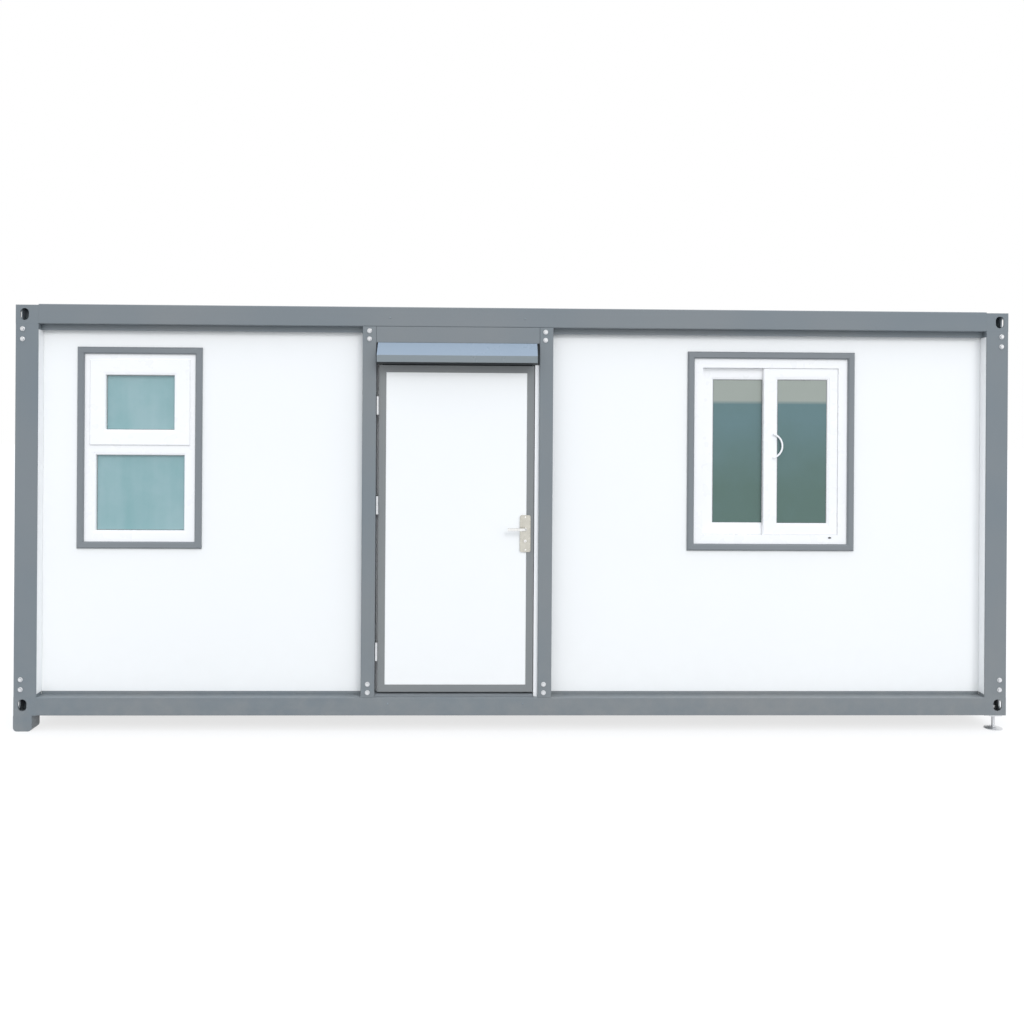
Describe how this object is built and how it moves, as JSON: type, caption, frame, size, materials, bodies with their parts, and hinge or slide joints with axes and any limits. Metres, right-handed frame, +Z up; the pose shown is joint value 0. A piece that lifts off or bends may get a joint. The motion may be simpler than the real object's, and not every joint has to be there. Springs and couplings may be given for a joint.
{
  "type": "portable office",
  "caption": "Single-room portable office: bolted steel frame on hollow corner fittings, insulated wall panels, hinged door under a rain hood, sash windows and a ribbed roof.",
  "frame": {"origin": "on the ground, in the middle of the box that holds the whole building, rain hood included", "axes": "+X along the long side to the right as seen from the front, -Y out of the front, +Z up"},
  "size_m": [6.055, 2.51, 2.579],
  "materials": {
    "frame_paint": "satin grey paint",
    "panel_paint": "satin white coil coating",
    "trim_paint": "satin grey paint",
    "white_metal": "satin white paint",
    "floor_steel": "primer",
    "roof_paint": "satin coil coating",
    "deck_board": "sheet flooring",
    "ceiling_paint": "matte white coil coating",
    "window_plastic": "white extruded plastic",
    "frosted_glass": "frosted",
    "clear_glass": "polished",
    "zinc_steel": "zinc plated",
    "lock_steel": "satin nickel"
  },
  "bodies": {
    "building": {"bottom_fitting_front_left": "frame_paint", "bottom_fitting_front_right": "frame_paint", "bottom_fitting_back_left": "frame_paint", "bottom_fitting_back_right": "frame_paint", "top_fitting_front_left": "frame_paint", "top_fitting_front_right": "frame_paint", "top_fitting_back_left": "frame_paint", "top_fitting_back_right": "frame_paint", "corner_post_front_left": "frame_paint", "corner_post_front_right": "frame_paint", "corner_post_back_left": "frame_paint", "corner_post_back_right": "frame_paint", "bottom_beam_front": "frame_paint", "bottom_beam_back": "frame_paint", "bottom_beam_left": "frame_paint", "bottom_beam_right": "frame_paint", "top_beam_front": "frame_paint", "top_beam_back": "frame_paint", "top_beam_left": "frame_paint", "top_beam_right": "frame_paint", "door_post_left": "frame_paint", "door_post_right": "frame_paint", "door_header": "frame_paint", "rain_hood": "frame_paint", "support_blocks": "frame_paint", "front_wall_left": "panel_paint", "front_wall_right": "panel_paint", "wall_over_door": "panel_paint", "back_wall": "panel_paint", "end_wall_left": "panel_paint", "end_wall_right": "panel_paint", "wall_foot_channels": "trim_paint", "wall_top_channels": "trim_paint", "window_trims": "trim_paint", "door_sill": "trim_paint", "door_frame_head": "trim_paint", "reveal_linings": "white_metal", "door_frame": "white_metal", "floor_joists": "floor_steel", "roof_purlins": "floor_steel", "roof_sheet": "roof_paint", "roof_end_flashings": "roof_paint", "floor_deck": "deck_board", "ceiling_panel": "ceiling_paint", "left_window_frame": "window_plastic", "left_window_sash": "window_plastic", "right_window_frame": "window_plastic", "right_window_sashes": "window_plastic", "window_pull": "window_plastic", "left_window_glass": "frosted_glass", "right_window_glass": "clear_glass", "hinge_posts": "zinc_steel", "levelling_feet": "zinc_steel"},
    "door": {"door_leaf_border": "frame_paint", "door_leaf_infill": "panel_paint", "hinge_leaves": "zinc_steel", "lock_plates": "lock_steel"},
    "handle": {"lever_handles": "lock_steel"}
  },
  "joints": [
    {"name": "door_swing", "type": "hinge", "parent": "building", "child": "door", "pos_m": [-0.84975, -1.168, 1.3725], "axis": [0, 0, -1], "range_deg": [0, 100]},
    {"name": "handle_turn", "type": "hinge", "parent": "door", "child": "handle", "pos_m": [0.055, -1.18, 1.23], "axis": [0, -1, 0], "range_deg": [0, 40], "stiffness_Nm_per_rad": 2, "springref_deg": -28.65}
  ]
}
